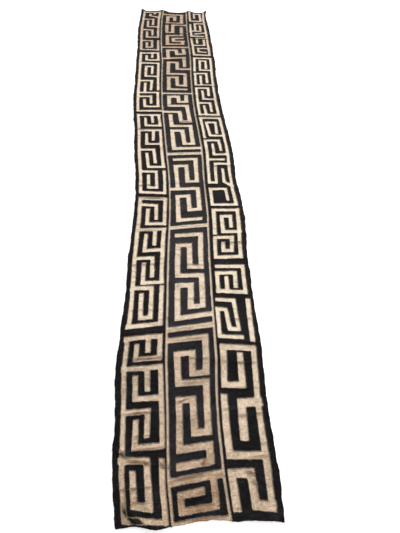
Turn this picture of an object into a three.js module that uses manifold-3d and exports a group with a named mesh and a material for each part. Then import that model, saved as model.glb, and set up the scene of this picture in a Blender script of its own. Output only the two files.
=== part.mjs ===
// A kuba raffia cloth, lying flat on a floor as it was laid out: three long bands sewn side by
// side, each of natural raffia panels joined end to end, with one black-dyed raffia panel of
// cut work stitched down on each. The natural lines of the maze are the slots cut in the black.
// Sizes are in mm. +Y runs from the near hem to the far one, +X across, +Z up.

import * as THREE from 'three';
import { mergeVertices } from 'three/addons/utils/BufferGeometryUtils.js';
import Module from 'manifold-3d';

const wasm = await Module();
wasm.setup();

// Driving sizes
const clothLength = 3970;
const columns = 9;
const pitch = 22.8;
const groundThick = 1.2;
const blackThick = 0.9;
const clearance = 0.3;
const seamGap = 0.6;
const sideLine = 21.5;
const centreLine = 25.5;
const rim = 8.5;
const bar = 26;
const hemRim = 15;
const handCut = 2.2;
const hemReach = 70;
const longStretch = 150;
const dip = 40;
const lowRidge = 8;
const rowStep = 100;
const rowSpacing = 6;
const hemPanelColumns = 6;
const panelColumns = 4;
const cutterHeight = 80;
const cutterBelow = 20;
const facetTolerance = 0.15;

// Where the rows of points over a ridge lie, in parts of its half width
const highRidgeRows = [-1, -0.5, 0, 0.5, 1];
const lowRidgeRows = [-0.8, 0, 0.8];

// Numbers that scatter the seeds of the hand's unevenness, and how far apart the seeds start
const scatter = 48271;
const largePrime = 2147483647;
const scatterSteps = 3;
const seedsPerSlot = 32;

// How much a slot's width wanders against its corners, and the cosine that holds a sharp mitre back
const widthUnevenness = 0.33;
const sharpestMitre = 0.5;

// The plan outline as it lies, a row for each bend: both edges and both seams across
const outline = [
  { along: 0, left: -291, seamLeft: -99, seamRight: 110, right: 294 },
  { along: 60, left: -299, seamLeft: -105, seamRight: 105, right: 299 },
  { along: 150, left: -312, seamLeft: -113, seamRight: 99, right: 302 },
  { along: 375, left: -316, seamLeft: -113, seamRight: 95, right: 298 },
  { along: 500, left: -323, seamLeft: -115, seamRight: 101, right: 301 },
  { along: 610, left: -324, seamLeft: -116, seamRight: 109, right: 310 },
  { along: 880, left: -304, seamLeft: -108, seamRight: 113, right: 309 },
  { along: 1190, left: -296, seamLeft: -99, seamRight: 120, right: 316 },
  { along: 1450, left: -280, seamLeft: -87, seamRight: 131, right: 334 },
  { along: 1740, left: -280, seamLeft: -86, seamRight: 128, right: 319 },
  { along: 1975, left: -297, seamLeft: -99, seamRight: 133, right: 326 },
  { along: 2200, left: -303, seamLeft: -110, seamRight: 122, right: 315 },
  { along: 2500, left: -322, seamLeft: -124, seamRight: 105, right: 298 },
  { along: 2850, left: -320, seamLeft: -125, seamRight: 103, right: 294 },
  { along: 3080, left: -320, seamLeft: -120, seamRight: 110, right: 301 },
  { along: 3280, left: -317, seamLeft: -127, seamRight: 110, right: 299 },
  { along: 3600, left: -321, seamLeft: -126, seamRight: 102, right: 295 },
  { along: 3850, left: -308, seamLeft: -118, seamRight: 108, right: 284 },
  { along: 3910, left: -303, seamLeft: -112, seamRight: 111, right: 280 },
  { along: 3970, left: -302, seamLeft: -105, seamRight: 107, right: 297 },
];

// How far each hem runs out past its straight line, at places across
const nearHem = [
  { across: -294, out: -5 },
  { across: -258, out: -5 },
  { across: -220, out: -11 },
  { across: -176, out: 7 },
  { across: -120, out: 4 },
  { across: 0, out: -9 },
  { across: 65, out: -10 },
  { across: 110, out: -3 },
  { across: 180, out: -2 },
  { across: 250, out: 3 },
  { across: 294, out: 10 },
];
const farHem = [
  { across: -306, out: 8 },
  { across: -265, out: -6 },
  { across: -180, out: 2 },
  { across: -95, out: 4 },
  { across: -50, out: -14 },
  { across: 20, out: -22 },
  { across: 80, out: -18 },
  { across: 125, out: 2 },
  { across: 235, out: -14 },
  { across: 298, out: 10 },
];

// Soft ridges: where the crest is, how far each half reaches along its crest and over it, its
// height, and how many degrees its crest is turned from straight across
const ridges = [
  { x: -160, along: -6, across: 54, run: 150, height: 19, turn: 0 },
  { x: -208, along: 20, across: 75, run: 24, height: 9, turn: -32 },
  { x: 215, along: -4, across: 75, run: 42, height: 6, turn: 0 },
  { x: 0, along: 104, across: 210, run: 34, height: 5, turn: 4 },
  { x: -60, along: 372, across: 330, run: 40, height: 6, turn: 0 },
  { x: 90, along: 607, across: 320, run: 36, height: 6, turn: 0 },
  { x: 0, along: 985, across: 420, run: 40, height: 5, turn: 0 },
  { x: -70, along: 1480, across: 360, run: 44, height: 5, turn: 0 },
  { x: 60, along: 2020, across: 400, run: 46, height: 5, turn: 0 },
  { x: 0, along: 2610, across: 420, run: 46, height: 6, turn: 0 },
  { x: -40, along: 3205, across: 400, run: 46, height: 6, turn: 0 },
  { x: -306, along: 3980, across: 60, run: 90, height: 14, turn: 0 },
  { x: -100, along: 3980, across: 55, run: 110, height: 9, turn: 0 },
  { x: 124, along: 3980, across: 50, run: 110, height: 8, turn: 0 },
  { x: 300, along: 3985, across: 55, run: 90, height: 18, turn: 0 },
];

// The upright columns that the maze keeps to, in ninths of a band's width from its left side
const leftColumns = { start: 0, left: 1.5, cup: 3.6, hook: 5.7, right: 7.9, end: 9 };
const centreColumns = { start: 0, left: 2.1, hook: 4.7, right: 7, end: 9 };
const rightColumns = { start: 0, left: 1.3, cup: 3.3, hook: 5.4, right: 7.4, end: 9 };

// The bands, with the places along where their panels meet and the width of their slots. Weft
// and cuts run a little aslant: rise is how far along the band's right side leads its left.
const bands = [
  {
    name: 'left', from: 'left', to: 'seamLeft', columns: leftColumns, line: sideLine,
    joints: [0, 735, 1590, 2400, 3235, clothLength],
    slants: [
      { along: 0, rise: 0 }, { along: 22, rise: -16 }, { along: 70, rise: -20 },
      { along: 210, rise: -14 }, { along: 265, rise: 8 }, { along: 400, rise: 6 },
      { along: 570, rise: 11 }, { along: 765, rise: 18 }, { along: 1000, rise: 7 },
      { along: 1340, rise: 3 }, { along: 1570, rise: -9 }, { along: 1800, rise: 0 },
    ],
  },
  {
    name: 'centre', from: 'seamLeft', to: 'seamRight', columns: centreColumns, line: centreLine,
    joints: [0, 145, 755, 1360, 1965, 2630, 3310, clothLength],
    slants: [
      { along: 0, rise: 0 }, { along: 50, rise: 20 }, { along: 240, rise: 22 },
      { along: 430, rise: 8 }, { along: 700, rise: 22 }, { along: 800, rise: 26 },
      { along: 960, rise: 4 }, { along: 1200, rise: 4 }, { along: 1380, rise: 24 },
      { along: 1600, rise: 8 }, { along: 1900, rise: 13 }, { along: 2200, rise: -2 },
      { along: 2480, rise: 6 }, { along: 2900, rise: 0 }, { along: 3130, rise: 14 },
      { along: 3310, rise: 8 }, { along: 3700, rise: 0 },
    ],
  },
  {
    name: 'right', from: 'seamRight', to: 'right', columns: rightColumns, line: sideLine,
    joints: [0, 680, 1500, 2360, 3160, clothLength],
    slants: [
      { along: 0, rise: 0 }, { along: 216, rise: -9 }, { along: 650, rise: -16 },
      { along: 930, rise: -13 }, { along: 1100, rise: -2 }, { along: 2360, rise: 0 },
    ],
  },
];

// Motifs of the side bands, each a set of slots. A slot is a list of [column, along] corners.
// The spiral coils in from the left rail, and its right rail ends free at the head
function spiral({ foot, head }, { left, cup, hook, right }) {
  return [
    [[left, foot], [right, foot], [right, head]],
    [[left, head], [hook, head], [hook, foot + dip], [cup, foot + dip], [cup, head - dip]],
  ];
}

// The key is a cup that stands on a bar from the right rail, with a hook let down into it
function key({ foot, head }, { left, cup, hook, right }) {
  return [
    [[right, foot], [cup, foot], [cup, head - dip]],
    [[left, head], [hook, head], [hook, foot + dip]],
  ];
}

// The closed key is the same with its top bar run on to the right rail
function closedKey({ foot, head }, named) {
  return [...key({ foot, head }, named), [[named.hook, head], [named.right, head]]];
}

// The standing key has its cup on a full bar at the foot
function standingKey({ foot, head }, named) {
  return [...key({ foot, head }, named), [[named.left, foot], [named.cup, foot]]];
}

// A rail, which is one straight slot along a named column
function rail({ column, foot, head }, named) {
  return [[[named[column], foot], [named[column], head]]];
}

// The corners of a slot that keeps to no motif, written as a column and a place along for each:
// "left 940, right 940, right 1090". A column is a name or a number of ninths.
function corners(words, named) {
  return words.split(', ').map((corner) => {
    const [column, along] = corner.split(' ');
    return [named[column] ?? Number(column), Number(along)];
  });
}

const bend = ({ go }, named) => [corners(go, named)];

// The centre band's meander: up the left side, in, down, out, and up the right side to the
// next turn. Each link names where its inner hook tops out, how low it dips and its shoulder.
function meander({ start, end, links }, named) {
  const { left, hook, right } = named;
  const path = corners(start, named);
  for (const { top, low, shoulder } of links) {
    path.push([left, top], [hook, top], [hook, low], [right, low]);
    if (shoulder !== low) path.push([right, shoulder]);
    if (shoulder !== top) path.push([left, shoulder]);
  }
  if (end) path.splice(-1, 1, ...corners(end, named));
  return [path];
}

// The chart of each band from the near hem up, set by hand in round steps: where each motif has
// its foot and head, in mm along. A row may have slots wider or narrower than its band's.
const chart = {
  left: [
    { motif: rail, column: 'left', foot: 20, head: 710, line: 18 },
    { motif: bend, go: 'left 20, 8.2 20, 8.2 210', line: 20 },
    { motif: bend, go: 'left 210, hook 210, hook 65, 3.2 65, 3.2 165', line: 23 },
    { motif: key, foot: 260, head: 390 },
    { motif: bend, go: '8.2 260, 8.2 570', line: 20 },
    { motif: closedKey, foot: 440, head: 570 },
    { motif: closedKey, foot: 610, head: 710 },
    { motif: rail, column: 'right', foot: 610, head: 710 },
    { motif: rail, column: 'left', foot: 770, head: 1570 },
    { motif: spiral, foot: 770, head: 970 },
    { motif: key, foot: 1000, head: 1150 },
    { motif: rail, column: 'right', foot: 1000, head: 1340 },
    { motif: closedKey, foot: 1200, head: 1340 },
    { motif: key, foot: 1380, head: 1520 },
    { motif: rail, column: 'right', foot: 1380, head: 1570 },
    { motif: bend, go: 'left 1570, right 1570' },
    { motif: rail, column: 'left', foot: 1620, head: 2370 },
    { motif: spiral, foot: 1620, head: 1800 },
    { motif: key, foot: 1840, head: 2000 },
    { motif: rail, column: 'right', foot: 1840, head: 2200 },
    { motif: closedKey, foot: 2060, head: 2200 },
    { motif: closedKey, foot: 2250, head: 2370 },
    { motif: rail, column: 'right', foot: 2250, head: 2370 },
    { motif: rail, column: 'left', foot: 2420, head: 3200 },
    { motif: bend, go: 'left 2420, end 2420' },
    { motif: key, foot: 2470, head: 2590 },
    { motif: bend, go: 'right 2470, right 2640, left 2640' },
    { motif: bend, go: 'cup 2640, cup 2760' },
    { motif: bend, go: 'left 2800, hook 2800, hook 2680' },
    { motif: bend, go: 'right 2680, right 3050, left 3050' },
    { motif: bend, go: 'right 2860, cup 2860, cup 3000, hook 3000, hook 2900' },
    { motif: closedKey, foot: 3100, head: 3200 },
    { motif: rail, column: 'right', foot: 3100, head: 3200 },
    { motif: rail, column: 'left', foot: 3260, head: 3940 },
    { motif: spiral, foot: 3260, head: 3410 },
    { motif: key, foot: 3470, head: 3600 },
    { motif: rail, column: 'right', foot: 3470, head: 3940 },
    { motif: key, foot: 3660, head: 3800 },
    { motif: bend, go: 'right 3840, 4 3870, 4 3900' },
    { motif: bend, go: 'left 3940, right 3940' },
    { motif: bend, go: 'hook 3940, hook 3910' },
  ],
  centre: [
    { motif: bend, go: 'right 145, 7.1 45, 1.8 45, 1.8 100, 5 100', line: 22 },
    {
      motif: meander, start: 'left 190, right 190, right 250, left 250',
      links: [{ top: 430, low: 300, shoulder: 500 }, { top: 630, low: 540, shoulder: 700 }],
      end: 'start 700',
    },
    {
      motif: meander, start: 'end 810, left 810',
      links: [{ top: 980, low: 860, shoulder: 1040 }, { top: 1230, low: 1090, shoulder: 1300 }],
    },
    {
      motif: meander, start: 'right 1410, left 1410',
      links: [{ top: 1590, low: 1480, shoulder: 1650 }], end: 'start 1650',
    },
    {
      motif: meander, start: 'left 1650',
      links: [{ top: 1850, low: 1710, shoulder: 1910 }],
    },
    {
      motif: meander, start: 'end 2010, left 2010',
      links: [{ top: 2200, low: 2060, shoulder: 2250 }], end: 'left 2250, left 2370',
    },
    {
      motif: meander, start: 'start 2410, hook 2410, hook 2300, right 2300, right 2480, left 2480',
      links: [{ top: 2590, low: 2530, shoulder: 2590 }],
    },
    {
      motif: meander, start: 'right 2690, left 2690',
      links: [{ top: 2850, low: 2740, shoulder: 2900 }, { top: 3070, low: 2970, shoulder: 2970 }],
      end: 'end 2970',
    },
    { motif: bend, go: 'start 3130, right 3140, right 3010' },
    { motif: bend, go: 'left 3130, left 3260, hook 3260, hook 3190, right 3190, right 3270' },
    { motif: bend, go: 'right 3460, 4 3460, 4 3410, right 3410, right 3360, left 3360' },
    { motif: bend, go: 'left 3360, left 3510' },
    { motif: bend, go: 'left 3510, 7 3510, 7 3650' },
    { motif: bend, go: 'left 3690, left 3560, 4 3560, 4 3700' },
    { motif: bend, go: 'hook 3700, end 3700' },
    { motif: bend, go: 'left 3740, right 3740, right 3900, 1 3900' },
    { motif: bend, go: 'left 3740, left 3860, hook 3860, hook 3790' },
  ],
  right: [
    { motif: bend, go: '7.1 45, 7.3 650', line: 24 },
    { motif: bend, go: '1.1 45, 1.2 150, 4.3 150, 4.4 50, 7.1 45', line: 30 },
    { motif: bend, go: '7.2 210, 1.2 210, 1.1 430', line: 27 },
    { motif: bend, go: '7.3 410, 4.2 410, 4 280', line: 34 },
    { motif: bend, go: '7.3 650, 1.2 650, 1.2 480, 4.8 480, 4.5 610', line: 27 },
    { motif: bend, go: '5.2 700, 0.9 700, 0.9 840, 2.6 840, 3 740, 4.8 740, 4.6 890, 1 890', line: 20 },
    { motif: bend, go: '7.5 690, 7.7 890', line: 24 },
    { motif: bend, go: 'left 940, right 940, right 1090, left 1090' },
    { motif: bend, go: 'left 940, left 1050, hook 1050, hook 970' },
    { motif: rail, column: 'cup', foot: 940, head: 1020 },
    { motif: rail, column: 'right', foot: 1150, head: 1480 },
    { motif: bend, go: 'right 1150, left 1150, left 1280, hook 1280, hook 1190, cup 1190, cup 1240' },
    { motif: bend, go: 'right 1480, left 1480, left 1310' },
    { motif: bend, go: 'right 1320, cup 1320, cup 1430, hook 1430, hook 1360' },
    { motif: bend, go: 'right 1520, left 1520, left 1650, hook 1650, hook 1560' },
    { motif: rail, column: 'right', foot: 1520, head: 2340 },
    { motif: bend, go: 'hook 1820, hook 1710, right 1670' },
    { motif: bend, go: 'right 1870, cup 1870, cup 1700, left 1700, left 2100' },
    { motif: bend, go: 'left 1910, 6 1910' },
    { motif: key, foot: 1960, head: 2100 },
    { motif: bend, go: 'right 2150, 3.1 2150, 2.9 2290, 5.7 2290, 5.4 2180' },
    { motif: bend, go: 'left 2130, left 2340, right 2340' },
    { motif: rail, column: 'right', foot: 2380, head: 3140 },
    { motif: rail, column: 'left', foot: 2380, head: 2710 },
    { motif: standingKey, foot: 2380, head: 2520 },
    { motif: key, foot: 2570, head: 2710 },
    { motif: standingKey, foot: 2750, head: 2910 },
    { motif: rail, column: 'left', foot: 2750, head: 2910 },
    { motif: bend, go: 'right 2960, cup 2960, cup 3100, hook 3100, hook 2990' },
    { motif: bend, go: 'left 2950, left 3140, right 3140' },
    { motif: rail, column: 'right', foot: 3190, head: 3950 },
    { motif: bend, go: 'right 3190, left 3190, left 3460' },
    { motif: bend, go: 'right 3300, cup 3300, cup 3240, 6 3240' },
    { motif: bend, go: 'left 3350, 6 3350, 6 3440' },
    { motif: bend, go: 'cup 3390, cup 3470, right 3470' },
    { motif: bend, go: '6 3510, left 3510, left 3720' },
    { motif: bend, go: '3 3550, right 3570' },
    { motif: bend, go: 'left 3600, hook 3600, hook 3700' },
    { motif: bend, go: 'cup 3620, cup 3740, right 3740' },
    { motif: bend, go: 'left 3950, left 3790, 6 3790, 6 3930, cup 3930, cup 3850' },
  ],
};

// A table's column read at any place, as a smooth curve through its rows
function read(table, place, column, at) {
  const last = table.length - 1;
  if (at <= table[0][place]) return table[0][column];
  if (at >= table[last][place]) return table[last][column];
  const i = table.findIndex((row) => row[place] > at) - 1;
  const before = table[Math.max(i - 1, 0)];
  const [low, high] = [table[i], table[i + 1]];
  const after = table[Math.min(i + 2, last)];
  const span = high[place] - low[place];
  const t = (at - low[place]) / span;
  const slopeLow = ((high[column] - before[column]) / (high[place] - before[place])) * span;
  const slopeHigh = ((after[column] - low[column]) / (after[place] - low[place])) * span;
  const t2 = t * t;
  const t3 = t2 * t;
  return (2 * t3 - 3 * t2 + 1) * low[column] + (t3 - 2 * t2 + t) * slopeLow
    + (3 * t2 - 2 * t3) * high[column] + (t3 - t2) * slopeHigh;
}

// Where a band's column and a place along fall in plan. The hems run out and in near the ends.
function inPlan(band, column, along) {
  const at = along + read(band.slants, 'along', 'rise', along) * (column / columns - 0.5);
  const from = read(outline, 'along', band.from, at);
  const to = read(outline, 'along', band.to, at);
  const x = from + ((to - from) * column) / columns;
  const near = Math.max(0, 1 - at / hemReach);
  const far = Math.max(0, 1 - (clothLength - at) / hemReach);
  const y = at - near * read(nearHem, 'across', 'out', x) + far * read(farHem, 'across', 'out', x);
  return [x, y];
}

// Height of the cloth's underside over the floor: each ridge is a soft bell both ways
const bell = (q) => (Math.abs(q) < 1 ? (1 - q * q) ** 2 : 0);

function lift(x, y) {
  let z = 0;
  for (const ridge of ridges) {
    const turn = THREE.MathUtils.degToRad(ridge.turn);
    const over = (x - ridge.x) * Math.cos(turn) + (y - ridge.along) * Math.sin(turn);
    const run = (y - ridge.along) * Math.cos(turn) - (x - ridge.x) * Math.sin(turn);
    z += ridge.height * bell(over / ridge.across) * bell(run / ridge.run);
  }
  return z;
}

// A slab between two heights over the cloth's underside, on rows of plan points
function slab(rows, bottom, top) {
  const across = rows[0].length;
  const points = [];
  for (const height of [bottom, top]) {
    for (const row of rows) {
      for (const [x, y] of row) points.push(x, y, lift(x, y) + height);
    }
  }
  const layer = rows.length * across;
  const faces = [];
  const quad = (a, b, c, d) => faces.push(a, b, c, a, c, d);
  for (let r = 0; r + 1 < rows.length; r += 1) {
    for (let c = 0; c + 1 < across; c += 1) {
      const i = r * across + c;
      quad(layer + i, layer + i + 1, layer + i + across + 1, layer + i + across);
      quad(i, i + across, i + across + 1, i + 1);
    }
    const start = r * across;
    const end = start + across - 1;
    quad(start, layer + start, layer + start + across, start + across);
    quad(end, end + across, layer + end + across, layer + end);
  }
  const lastRow = layer - across;
  for (let c = 0; c + 1 < across; c += 1) {
    quad(c, c + 1, layer + c + 1, layer + c);
    quad(lastRow + c, layer + lastRow + c, layer + lastRow + c + 1, lastRow + c + 1);
  }
  return new wasm.Manifold(new wasm.Mesh({
    numProp: 3,
    vertProperties: new Float32Array(points),
    triVerts: new Uint32Array(faces),
  }));
}

// Rows of plan points over one panel, close together only where a ridge crosses
function panelRows(band, foot, head) {
  const places = new Set([foot, head]);
  for (let at = 0; at < clothLength; at += rowStep) places.add(at);
  for (const ridge of ridges) {
    const parts = ridge.height > lowRidge ? highRidgeRows : lowRidgeRows;
    for (const part of parts) places.add(ridge.along + part * ridge.run);
  }
  const kept = [...places].filter((at) => at >= foot && at <= head).sort((a, b) => a - b);
  const spaced = kept.filter((at, i) => (
    i === 0 || at === head || (at - kept[i - 1] > rowSpacing && head - at > rowSpacing)
  ));
  const hemPanel = foot < hemReach || head > clothLength - hemReach;
  const step = columns / (hemPanel ? hemPanelColumns : panelColumns);
  return spaced.map((along) => {
    const row = [];
    for (let column = 0; column <= columns; column += step) {
      const [x, y] = inPlan(band, column, along);
      const side = column === 0 ? seamGap / 2 : column === columns ? -seamGap / 2 : 0;
      row.push([x + side, y]);
    }
    return row;
  });
}

// A repeatable number from -1 to 1 for the unevenness of hand cutting: a few steps of a
// remainder rule scatter the seed over a large prime
function uneven(seed) {
  let value = seed + 1;
  for (let step = 0; step < scatterSteps; step += 1) value = (value * scatter + 1) % largePrime;
  return (value / largePrime) * 2 - 1;
}

// A slot's corners in mm, a little off their places, with points added on long stretches so
// that the slot bends with the band
function slotPoints(slotCorners, unevenness, seed) {
  const points = [];
  slotCorners.forEach(([column, along], i) => {
    const corner = new THREE.Vector2(
      column * pitch + unevenness * uneven(seed + 2 * i),
      along + unevenness * uneven(seed + 2 * i + 1),
    );
    if (i > 0) {
      const last = points[points.length - 1];
      const steps = Math.ceil(last.distanceTo(corner) / longStretch);
      for (let k = 1; k < steps; k += 1) points.push(last.clone().lerp(corner, k / steps));
    }
    points.push(corner);
  });
  return points;
}

// A slot as an upright prism: its course widened to each side, with mitred corners
function slot(band, slotCorners, width, unevenness, seed) {
  const path = slotPoints(slotCorners, unevenness, seed);
  const lastPoint = path.length - 1;
  const sides = [[], []];
  path.forEach((point, i) => {
    const before = Math.max(i, 1);
    const into = path[before].clone().sub(path[before - 1]).normalize();
    const next = Math.min(i + 1, lastPoint);
    const out = path[next].clone().sub(path[next - 1]).normalize();
    const mitre = into.clone().add(out).normalize();
    const half = width / 2 + widthUnevenness * unevenness * uneven(seed + seedsPerSlot / 2 + i);
    const reach = half / Math.max(sharpestMitre, mitre.dot(into));
    const tip = i === 0 ? -half : i === lastPoint ? half : 0;
    for (const [side, sign] of [[sides[0], 1], [sides[1], -1]]) {
      side.push([
        point.x + mitre.x * tip - sign * mitre.y * reach,
        point.y + mitre.y * tip + sign * mitre.x * reach,
      ]);
    }
  });
  const ring = [...sides[0], ...sides[1].reverse()];
  const plan = ring.map(([u, v]) => new THREE.Vector2(...inPlan(band, u / pitch, v)));
  const shape = new THREE.Shape(plan);
  const prism = new THREE.ExtrudeGeometry(shape, { depth: cutterHeight, bevelEnabled: false });
  prism.translate(0, 0, -cutterBelow);
  prism.deleteAttribute('normal');
  prism.deleteAttribute('uv');
  const merged = mergeVertices(prism);
  return new wasm.Manifold(new wasm.Mesh({
    numProp: 3,
    vertProperties: new Float32Array(merged.attributes.position.array),
    triVerts: new Uint32Array(merged.index.array),
  }));
}

// Natural raffia, the pale cloth that shows as lines
const natural = new THREE.MeshStandardMaterial({
  name: 'natural raffia', color: 0xdcbf92, roughness: 0.85,
});

// Black-dyed raffia, sooty and matt
const black = new THREE.MeshStandardMaterial({
  name: 'black raffia', color: 0x232226, roughness: 0.8,
});

const cloth = new THREE.Group();

function addPiece(name, solid, material) {
  const { vertProperties, triVerts } = solid.simplify(facetTolerance).getMesh();
  const geometry = new THREE.BufferGeometry();
  geometry.setAttribute('position', new THREE.BufferAttribute(vertProperties, 3));
  geometry.setIndex(new THREE.BufferAttribute(triVerts, 1));
  geometry.computeVertexNormals();
  const piece = new THREE.Mesh(geometry, material);
  piece.name = name;
  cloth.add(piece);
}

// The rim of the centre band and the bars between its panels are bare of black too
function bareStrips(band) {
  if (band.name !== 'centre') return [];
  const ends = [-longStretch, clothLength + longStretch];
  const rims = [0, columns].map((column) => slot(band, ends.map((at) => [column, at]), 2 * rim, 0, 0));
  const strip = (at, width) => slot(band, [[-1, at], [columns + 1, at]], width, 0, 0);
  const bars = band.joints.slice(1, -1).map((at) => strip(at, bar));
  return [...rims, ...bars, strip(0, 2 * hemRim)];
}

for (const band of bands) {
  const slots = chart[band.name].flatMap((row) => (
    row.motif(row, band.columns).map((path) => ({ path, line: row.line ?? band.line }))
  ));
  const cut = slots.map(({ path, line }, i) => (
    slot(band, path, line, handCut, i * seedsPerSlot + band.joints[1])
  ));
  const openwork = wasm.Manifold.union([...cut, ...bareStrips(band)]);
  for (let i = 0; i + 1 < band.joints.length; i += 1) {
    const foot = band.joints[i] + (i === 0 ? 0 : seamGap / 2);
    const head = band.joints[i + 1] - (i + 2 === band.joints.length ? 0 : seamGap / 2);
    const rows = panelRows(band, foot, head);
    addPiece(`ground_${band.name}_${i + 1}`, slab(rows, 0, groundThick), natural);
    const low = groundThick + clearance;
    const sheet = slab(rows, low, low + blackThick);
    addPiece(`black_${band.name}_${i + 1}`, sheet.subtract(openwork), black);
  }
}

// The origin is under the middle of the cloth, on the floor
const box = new THREE.Box3().setFromObject(cloth);
cloth.position.set(-(box.min.x + box.max.x) / 2, -(box.min.y + box.max.y) / 2, -box.min.z);

export default cloth;
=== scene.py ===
import math

import bpy
import numpy as np
from mathutils import Matrix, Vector
from mathutils.geometry import delaunay_2d_cdt


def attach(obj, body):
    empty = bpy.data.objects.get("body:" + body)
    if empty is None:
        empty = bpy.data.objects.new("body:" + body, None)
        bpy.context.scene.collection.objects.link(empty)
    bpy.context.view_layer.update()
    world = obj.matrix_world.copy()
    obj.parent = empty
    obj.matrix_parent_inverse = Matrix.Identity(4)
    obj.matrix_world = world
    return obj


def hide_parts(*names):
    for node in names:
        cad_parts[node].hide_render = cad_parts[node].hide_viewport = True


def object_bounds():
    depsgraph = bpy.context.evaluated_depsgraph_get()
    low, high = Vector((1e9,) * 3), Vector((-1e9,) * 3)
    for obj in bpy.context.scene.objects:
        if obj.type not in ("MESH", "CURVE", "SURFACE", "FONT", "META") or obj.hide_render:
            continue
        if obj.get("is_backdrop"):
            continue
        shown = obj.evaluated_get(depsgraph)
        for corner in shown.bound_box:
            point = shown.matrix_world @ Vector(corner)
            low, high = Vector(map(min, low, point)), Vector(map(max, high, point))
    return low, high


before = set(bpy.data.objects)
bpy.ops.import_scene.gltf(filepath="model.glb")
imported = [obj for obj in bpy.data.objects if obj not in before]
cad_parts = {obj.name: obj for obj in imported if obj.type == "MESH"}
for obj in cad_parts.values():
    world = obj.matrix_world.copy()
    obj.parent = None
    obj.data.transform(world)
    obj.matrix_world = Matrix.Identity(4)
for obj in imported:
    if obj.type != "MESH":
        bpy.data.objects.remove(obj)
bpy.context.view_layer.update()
mm = 0.001


# Camera
# The cloth is seen from standing height just beyond its near hem, looking down along it and a
# little to the right, with the view of a 27 mm lens on a 36 mm long picture.
picture_long = 36
focal_length = picture_long * 400 / 533
eye = (-0.0969, -2.0568, 1.6366)
look_down = math.radians(54.3)
swing = math.radians(-7.59)
roll = math.radians(5.15)

camera = bpy.data.objects.new("camera", bpy.data.cameras.new("camera"))
camera.data.sensor_width = picture_long
camera.data.lens = focal_length
camera.matrix_world = (
    Matrix.Translation(eye)
    @ Matrix.Rotation(swing, 4, "Z")
    @ Matrix.Rotation(math.pi / 2 - look_down, 4, "X")
    @ Matrix.Rotation(roll, 4, "Z")
)
bpy.context.scene.collection.objects.link(camera)
bpy.context.scene.camera = camera
bpy.context.scene.view_settings.view_transform = "Standard"


# Floor and light
# The cloth lies on white studio paper that glows a little, so its shadows stay pale. One broad
# lamp stands to the right and beyond it, so that each fold has a lit side, and white walls fill
# the rest.
def linear(colour):
    """The linear colour of an sRGB hex value, channel by channel: (c + 0.055)/1.055 to the power
    2.4, or c/12.92 where c is at most 0.04045."""
    channels = np.array([int(colour[i:i + 2], 16) for i in (1, 3, 5)]) / 255
    bright = ((channels + 0.055) / 1.055) ** 2.4
    return (*np.where(channels <= 0.04045, channels / 12.92, bright), 1.0)


def add(tree, kind, links=None, **settings):
    """One shader node with its settings. links gives each input a value, or the output that
    feeds it."""
    made = tree.nodes.new("ShaderNode" + kind)
    for name, value in settings.items():
        setattr(made, name, value)
    for name, value in (links or {}).items():
        if isinstance(value, bpy.types.NodeSocket):
            tree.links.new(value, made.inputs[name])
        else:
            made.inputs[name].default_value = value
    return made


def new_material(name):
    """An empty material and its node tree."""
    material = bpy.data.materials.new(name)
    material.use_nodes = True
    material.node_tree.nodes.clear()
    return material, material.node_tree


def piece_from(name, places, faces, material):
    """A smooth-shaded mesh object from an array of places and one of faces, which all have the
    same number of corners."""
    mesh = bpy.data.meshes.new(name)
    corners = faces.shape[1]
    mesh.vertices.add(len(places))
    mesh.vertices.foreach_set("co", places.astype(np.float32).ravel())
    mesh.loops.add(faces.size)
    mesh.loops.foreach_set("vertex_index", faces.astype(np.int32).ravel())
    mesh.polygons.add(len(faces))
    mesh.polygons.foreach_set("loop_start", np.arange(len(faces), dtype=np.int32) * corners)
    mesh.polygons.foreach_set("use_smooth", np.ones(len(faces), bool))
    mesh.update(calc_edges=True)
    mesh.validate()
    mesh.materials.append(material)
    made = bpy.data.objects.new(name, mesh)
    bpy.context.scene.collection.objects.link(made)
    return made


paper, tree = new_material("lit white studio paper")
surface = add(tree, "BsdfPrincipled", {
    "Base Color": (0.93, 0.93, 0.93, 1), "Roughness": 1.0,
    "Emission Color": (1, 1, 1, 1), "Emission Strength": 0.5,
})
add(tree, "OutputMaterial", {"Surface": surface.outputs[0]})

floor_half = 9.0
floor_drop = 0.4 * mm
floor_corners = np.array([[-1, -1, 0], [1, -1, 0], [1, 1, 0], [-1, 1, 0]]) * floor_half
floor = piece_from("floor", floor_corners - [0, 0, floor_drop], np.array([[0, 1, 2, 3]]), paper)
floor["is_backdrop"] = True

lamp = bpy.data.objects.new("lamp", bpy.data.lights.new("lamp", "SUN"))
lamp.data.energy = 3.0
lamp.data.angle = math.radians(14)
lamp.rotation_euler = (math.radians(-42), math.radians(42), 0)
bpy.context.scene.collection.objects.link(lamp)
walls = bpy.data.worlds.new("white walls")
walls.use_nodes = True
walls.node_tree.nodes["Background"].inputs["Color"].default_value = (1, 1, 1, 1)
walls.node_tree.nodes["Background"].inputs["Strength"].default_value = 0.60
bpy.context.scene.world = walls


# Ground panels
# Seventeen panels of undyed raffia, hand woven on a narrow loom and sewn end to end into three
# bands. The strips of leaf are knotted and split by hand, so the weave is slubby and uneven.

# The middle of the near hem lies this far to the left of the frame's middle, on this line across.
middle = 4.56 * mm
near_line = -1.9848

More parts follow.
